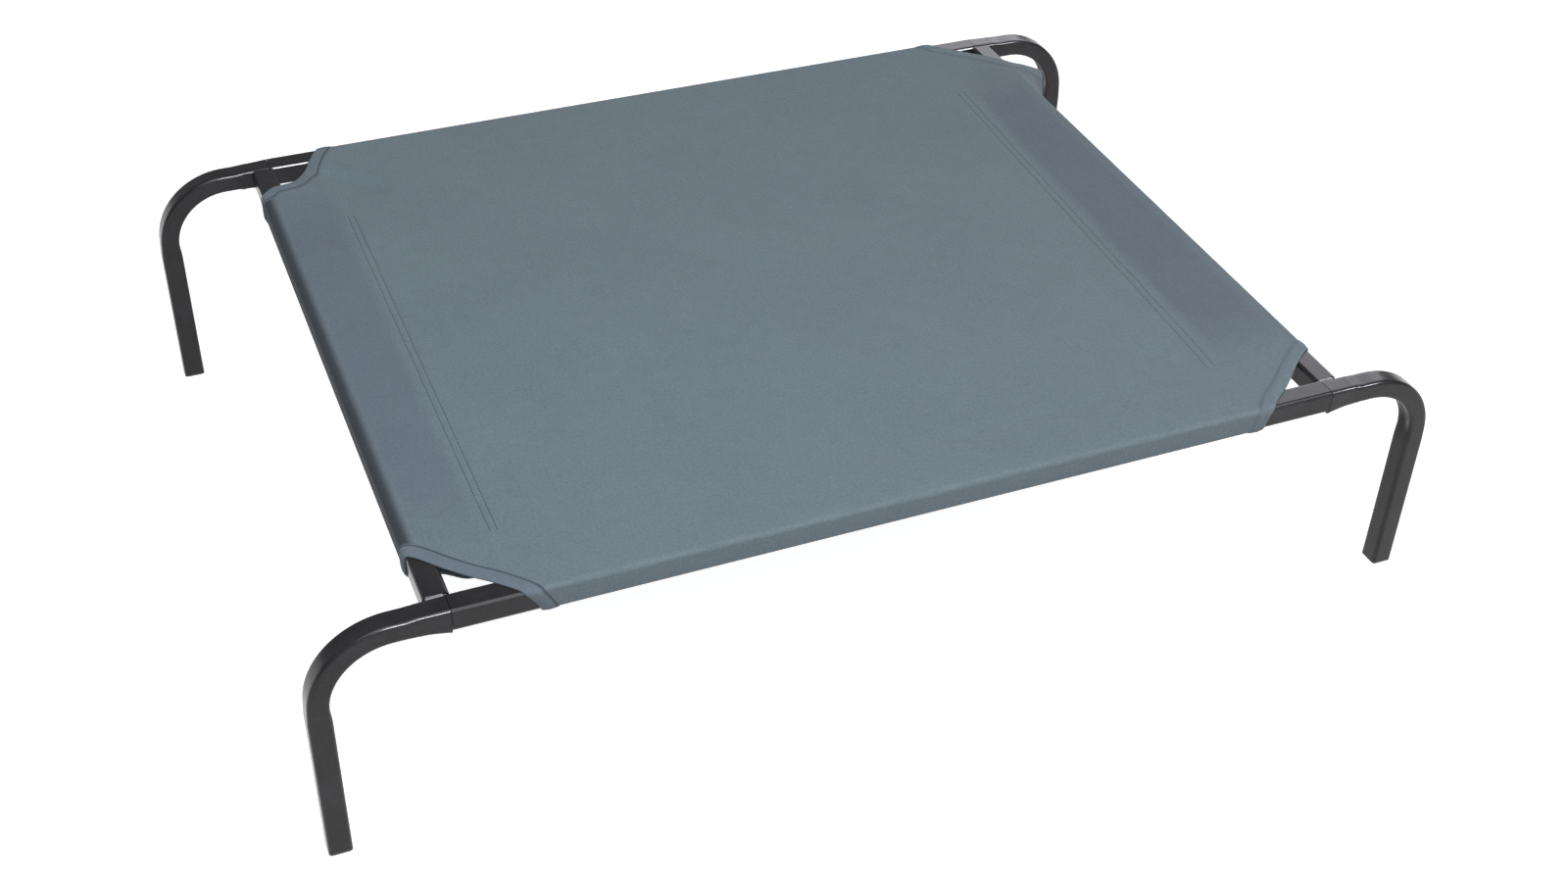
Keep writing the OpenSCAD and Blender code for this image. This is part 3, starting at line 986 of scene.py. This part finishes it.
def make_tape(cover, corner, material):
    """Tape folded over the cut edge of one corner, from under the side rail to under the long rail."""
    s = cover.settings
    edge = taped_edge(cover, corner, s.hem_tail)
    inside = inward(edge, corner)
    section = tape_section(s, s.thickness)
    count, rows, flats = len(section), [], []
    for distance, height in section:
        flat = edge + inside * distance
        rows.append(cover.at(*flat.T) + cover.normal(*flat.T) * height)
        flats.append(np.stack([np.arange(len(edge)) * TAPE_STEP, np.full(len(edge), distance)], axis=1))
    vertices = np.stack(rows, axis=1).reshape(-1, 3)
    flat = np.stack(flats, axis=1).reshape(-1, 2)
    faces = []
    for k in range(len(edge) - 1):
        faces += ring_faces(k * count, (k + 1) * count, count)
    faces += [tuple(range(count))[::-1], tuple(range((len(edge) - 1) * count, len(edge) * count))]
    obj = piece(f"binding_{corner}", vertices, faces, material, 50.0)
    lay_out(obj.data, flat)
    face_outwards(obj)
    return obj


# ---- stitches ----


def stitch_tree(material):
    """Node tree that lays stitches along a mesh's edges, whose points carry the cloth's direction as 'up'."""
    tree = bpy.data.node_groups.new("Stitch row", "GeometryNodeTree")
    face = tree.interface
    face.new_socket("Geometry", in_out="INPUT", socket_type="NodeSocketGeometry")
    for name in ("Pitch", "Stitch length", "Thread radius"):
        face.new_socket(name, in_out="INPUT", socket_type="NodeSocketFloat")
    face.new_socket("Geometry", in_out="OUTPUT", socket_type="NodeSocketGeometry")

    def add(kind, settings=None, links=None):
        node = tree.nodes.new(kind)
        for name, value in (settings or {}).items():
            setattr(node, name, value)
        for name, value in (links or {}).items():
            if isinstance(value, bpy.types.NodeSocket):
                tree.links.new(value, node.inputs[name])
            else:
                node.inputs[name].default_value = value
        return node

    def maths(operation, first, second):
        return add("ShaderNodeMath", {"operation": operation}, {0: first, 1: second}).outputs[0]

    def vector(**parts):
        return add("ShaderNodeCombineXYZ", None, parts).outputs[0]

    def lay(kind, links, **settings):
        return add(kind, settings, links).outputs[0]

    given = add("NodeGroupInput").outputs
    radius = given["Thread radius"]
    row = lay("GeometryNodeMeshToCurve", {"Mesh": given["Geometry"]})
    points = lay("GeometryNodeResampleCurve", {"Curve": row, "Length": given["Pitch"]}, mode="LENGTH")
    half = maths("MULTIPLY", given["Stitch length"], 0.5)
    sunk = maths("MULTIPLY", radius, -1.0)
    ends = {
        "Start": vector(X=maths("MULTIPLY", half, -1.0), Z=sunk),
        "Middle": vector(Z=maths("MULTIPLY", radius, 1.5)),
        "End": vector(X=half, Z=sunk),
    }
    arc = lay("GeometryNodeCurveQuadraticBezier", {"Resolution": 3, **ends})
    outline = lay("GeometryNodeCurvePrimitiveCircle", {"Resolution": 5, "Radius": radius})
    thread = lay("GeometryNodeCurveToMesh", {"Curve": arc, "Profile Curve": outline, "Fill Caps": True})
    tangent = add("GeometryNodeInputTangent").outputs[0]
    up = lay("GeometryNodeInputNamedAttribute", {"Name": "up"}, data_type="FLOAT_VECTOR")
    lie = lay("FunctionNodeAlignRotationToVector", {"Vector": tangent}, axis="X")
    links = {"Rotation": lie, "Vector": up}
    stand = lay("FunctionNodeAlignRotationToVector", links, axis="Z", pivot_axis="X")
    sewn = lay("GeometryNodeInstanceOnPoints", {"Points": points, "Instance": thread, "Rotation": stand})
    real = lay("GeometryNodeRealizeInstances", {"Geometry": sewn})
    painted = lay("GeometryNodeSetMaterial", {"Geometry": real, "Material": material})
    add("NodeGroupOutput", None, {"Geometry": painted})
    return tree


def make_stitches(name, rows, s, material):
    """Stitches along rows, each given as points and the cloth's direction at them, as one piece."""
    vertices, ups, edges = [], [], []
    for points, up in rows:
        edges += [(len(vertices) + k, len(vertices) + k + 1) for k in range(len(points) - 1)]
        vertices += points.tolist()
        ups += up.tolist()
    mesh = bpy.data.meshes.new(name + "_rows")
    mesh.from_pydata(vertices, edges, [])
    mesh.attributes.new("up", "FLOAT_VECTOR", "POINT").data.foreach_set("vector", np.ravel(ups))
    guide = bpy.data.objects.new(name + "_rows", mesh)
    bpy.context.scene.collection.objects.link(guide)
    tree = stitch_tree(material)
    modifier = guide.modifiers.new("Stitches", "NODES")
    modifier.node_group = tree
    sizes = {"Pitch": s.pitch, "Stitch length": s.run, "Thread radius": s.thread}
    for item in tree.interface.items_tree:
        if item.name in sizes:
            modifier[item.identifier] = sizes[item.name]
    bpy.context.view_layer.update()
    evaluated = guide.evaluated_get(bpy.context.evaluated_depsgraph_get())
    sewn = bpy.data.meshes.new_from_object(evaluated)
    sewn.name = name
    guide.modifiers.remove(modifier)
    bpy.data.objects.remove(guide)
    obj = bpy.data.objects.new(name, sewn)
    bpy.context.scene.collection.objects.link(obj)
    sewn.polygons.foreach_set("use_smooth", [True] * len(sewn.polygons))
    if not sewn.polygons:
        raise RuntimeError(f"{name} has no stitches")
    return obj


def sewn_row(cover, flat):
    """Points on the outer side of the cloth along a row of flat points, with the direction away from it."""
    up = cover.normal(*flat.T)
    return cover.at(*flat.T) + up * cover.settings.thickness / 2, up


def straight_row(start, end, spacing=3 * MM):
    """Flat points along a straight row."""
    start, end = np.array(start, float), np.array(end, float)
    count = int(np.linalg.norm(end - start) / spacing) + 2
    return start + (end - start) * np.linspace(0, 1, count)[:, None]


# ---- operators ----


class DOGBED_OT_frame(bpy.types.Operator):
    """Coat the four rails of the frame"""

    bl_idname = "dogbed.frame"
    bl_label = "Coat the rails"

    def execute(self, context):
        dress(RAILS, powder_coat(context.scene.dog_bed.colours))
        return {"FINISHED"}


class DOGBED_OT_legs(bpy.types.Operator):
    """Bend the four legs"""

    bl_idname = "dogbed.legs"
    bl_label = "Bend the legs"

    def execute(self, context):
        settings = context.scene.dog_bed
        coat = bpy.data.materials.get("powder_coat") or powder_coat(settings.colours)
        vertices, faces = leg_mesh(settings.leg)
        for corner, (across, along) in CORNERS.items():
            leg = piece(f"bent_leg_{corner}", vertices * (across, along, 1), faces, coat, 35.0)
            face_outwards(leg)
            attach(leg, BODY)
            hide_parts(f"leg_{corner}")
        return {"FINISHED"}


class DOGBED_OT_hardware(bpy.types.Operator):
    """Plate the stubs and nuts, blacken the screws and mould the foot caps"""

    bl_idname = "dogbed.hardware"
    bl_label = "Finish the hardware"

    def execute(self, context):
        colours = context.scene.dog_bed.colours
        parts = {
            bright_zinc(colours): ("corner_stub", "weld_nut"),
            black_oxide(colours): ("rail_screw", "side_screw"),
            moulded_plastic(colours): ("foot_cap",),
        }
        for material, kinds in parts.items():
            dress([f"{kind}_{corner}" for kind in kinds for corner in CORNERS], material)
        return {"FINISHED"}


class DOGBED_OT_cover(bpy.types.Operator):
    """Stretch the cloth cover over the rails"""

    bl_idname = "dogbed.cover"
    bl_label = "Stretch the cover"

    def execute(self, context):
        settings = context.scene.dog_bed
        colours = settings.colours
        cover = Cover(settings.cover)
        cloth = cover_cloth(colours, "slate_cloth", colours.cloth, colours.cloth_dark)
        obj, area = make_cover(cover, cloth)
        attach(obj, BODY)
        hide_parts("sleeper_cover")
        flat = [2 * reach for reach in cover.reach]
        return {"FINISHED"}


class DOGBED_OT_bindings(bpy.types.Operator):
    """Fold tape over the cut corners of the cover"""

    bl_idname = "dogbed.bindings"
    bl_label = "Bind the corners"

    def execute(self, context):
        settings = context.scene.dog_bed
        colours = settings.colours
        cover = Cover(settings.cover)
        shade = dim(colours.tape, 0.8)
        # finer than the cover and cut on the bias
        bias = {"pitch": 0.0006, "turn": math.pi / 4, "line": STITCH_PLACE * settings.cover.tape_width}
        # The same tape is painted darker, with a strong painted stitch shade, on the left corners, and in the
        # cloth's lighter colours, with a faint one, on the right
        left = cover_cloth(colours, "slate_tape", colours.tape, shade, **bias)
        plain = (colours.cloth, colours.cloth_dark)
        right = cover_cloth(colours, "slate_tape_right", *plain, **bias, mark=0.3)
        for corner, (across, _) in CORNERS.items():
            obj = make_tape(cover, corner, left if across < 0 else right)
            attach(obj, BODY)
            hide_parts(f"corner_binding_{corner}")
        return {"FINISHED"}


class DOGBED_OT_stitches(bpy.types.Operator):
    """Sew the seams and the tape"""

    bl_idname = "dogbed.stitches"
    bl_label = "Sew the seams"

    def execute(self, context):
        settings = context.scene.dog_bed
        cover = Cover(settings.cover)
        dark = sewing_thread("navy_thread", settings.colours.thread)
        pale = sewing_thread("slate_thread", settings.colours.thread_pale)
        groups = {
            "side_stitches": (dark, []),
            "long_stitches": (pale, []),
            "tape_stitches_left": (dark, []),
            "tape_stitches_right": (pale, []),
        }
        for name, rows in SIDE_ROWS.items():
            way = -1 if name == "left" else 1
            for ends in rows:
                flat = straight_row(*[(way * (SIDE_FACE - p[0] * MM), p[1] * MM - LONG_FACE) for p in ends])
                groups["side_stitches"][1].append(sewn_row(cover, flat))
        reach = SIDE_FACE - LONG_ROW_ENDS * MM
        for inset in LONG_ROWS:
            for way in (-1, 1):
                y = way * (LONG_FACE - inset * MM)
                groups["long_stitches"][1].append(sewn_row(cover, straight_row((-reach, y), (reach, y))))
        lift = cover.settings.tape_thickness
        for corner, (across, _) in CORNERS.items():
            edge = taped_edge(cover, corner, TAPE_STITCH_END)
            flat = edge + inward(edge, corner) * (cover.settings.tape_width * STITCH_PLACE)
            points, up = sewn_row(cover, flat)
            side = "left" if across < 0 else "right"
            groups[f"tape_stitches_{side}"][1].append((points + up * lift, up))
        for name, (thread, rows) in groups.items():
            obj = make_stitches(name, rows, settings.stitch, thread)
            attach(obj, BODY)
        return {"FINISHED"}


# Soft boxes and cards: name, place, point that it faces, width and height, watts, and whether it is a card,
# which shows only in the glossy coat and the other shiny pieces
LIGHTS = [
    ("overhead_softbox", (-0.5, -0.8, 2.2), (0.0, 0.0, 0.1), (1.6, 1.6), 33.5, False),
    ("front_softbox", (0.1, -2.6, 2.0), (0.0, 0.0, 0.1), (1.2, 1.2), 34, False),
    ("front_card", (0.75, -1.9, 1.9), (0.1, -0.3, 0.2), (2.6, 0.5), 380, True),
    ("right_card", (1.9, 1.9, 1.5), (0.4, 0.0, 0.2), (1.6, 1.6), 27, True),
]
CARD_TINT = (0.92, 0.92, 1.0)


class DOGBED_OT_stage(bpy.types.Operator):
    """Set up the floor, the lights and the camera"""

    bl_idname = "dogbed.stage"
    bl_label = "Set the stage"

    def execute(self, context):
        s = context.scene.dog_bed.stage
        scene = context.scene
        scene.view_settings.view_transform = "Standard"
        half = s.floor_size / 2
        square = [(-half, -half, 0), (half, -half, 0), (half, half, 0), (-half, half, 0)]
        floor = piece("studio_floor", square, [(0, 1, 2, 3)], floor_paint(s.floor, s.glow))
        floor.visible_diffuse = False
        world = bpy.data.worlds.new("studio_room")
        world.use_nodes = True
        glow = world.node_tree.nodes["Background"].inputs
        glow["Color"].default_value = (1, 1, 1, 1)
        glow["Strength"].default_value = s.room
        scene.world = world
        for light in LIGHTS:
            soft_box(*light)
        camera = bpy.data.objects.new("camera", bpy.data.cameras.new("camera"))
        scene.collection.objects.link(camera)
        camera.data.lens = s.lens
        camera.matrix_world = looking(Vector(s.eye), Vector(s.aim), s.roll)
        scene.camera = camera
        return {"FINISHED"}


def soft_box(name, place, aim, size, power, card):
    """A rectangular area light at a place, facing a point. A card shows only in glossy surfaces."""
    lamp = bpy.data.lights.new(name, "AREA")
    lamp.shape, lamp.energy = "RECTANGLE", power
    lamp.size, lamp.size_y = size
    if card:
        lamp.color = CARD_TINT
    obj = bpy.data.objects.new(name, lamp)
    bpy.context.scene.collection.objects.link(obj)
    obj.matrix_world = looking(Vector(place), Vector(aim), 0.0)
    obj.visible_diffuse = not card


def looking(eye, aim, roll):
    """Placement of a camera or lamp at eye that faces aim, turned by roll about its view."""
    back = (eye - aim).normalized()
    side = Vector((0, 0, 1)).cross(back).normalized()
    upright = Matrix((side, back.cross(side), back)).transposed()
    return Matrix.Translation(eye) @ (upright @ Matrix.Rotation(roll, 3, "Z")).to_4x4()


class DOGBED_PT_sidebar(bpy.types.Panel):
    """Steps that build the dog bed"""

    bl_idname = "DOGBED_PT_sidebar"
    bl_label = "Dog bed"
    bl_space_type = "VIEW_3D"
    bl_region_type = "UI"
    bl_category = "Dog bed"

    def draw(self, context):
        for step in STEPS:
            self.layout.operator(step.bl_idname)
        for group in ("leg", "cover", "stitch", "colours", "stage"):
            settings = getattr(context.scene.dog_bed, group)
            box = self.layout.box()
            for name in settings.bl_rna.properties.keys():
                if name not in ("rna_type", "name"):
                    box.prop(settings, name)


STEPS = (
    DOGBED_OT_frame,
    DOGBED_OT_legs,
    DOGBED_OT_hardware,
    DOGBED_OT_cover,
    DOGBED_OT_bindings,
    DOGBED_OT_stitches,
    DOGBED_OT_stage,
)
SETTINGS = (
    DogBedLegSettings,
    DogBedCoverSettings,
    DogBedStitchSettings,
    DogBedColourSettings,
    DogBedStageSettings,
    DogBedSettings,
)


def register():
    for part in (*SETTINGS, *STEPS, DOGBED_PT_sidebar):
        bpy.utils.register_class(part)
    bpy.types.Scene.dog_bed = PointerProperty(type=DogBedSettings)


def unregister():
    del bpy.types.Scene.dog_bed
    for part in reversed((*SETTINGS, *STEPS, DOGBED_PT_sidebar)):
        bpy.utils.unregister_class(part)


def main():
    register()
    bpy.ops.dogbed.frame()
    bpy.ops.dogbed.legs()
    bpy.ops.dogbed.hardware()
    bpy.ops.dogbed.cover()
    bpy.ops.dogbed.bindings()
    bpy.ops.dogbed.stitches()
    bpy.ops.dogbed.stage()


if __name__ == "__main__":
    main()
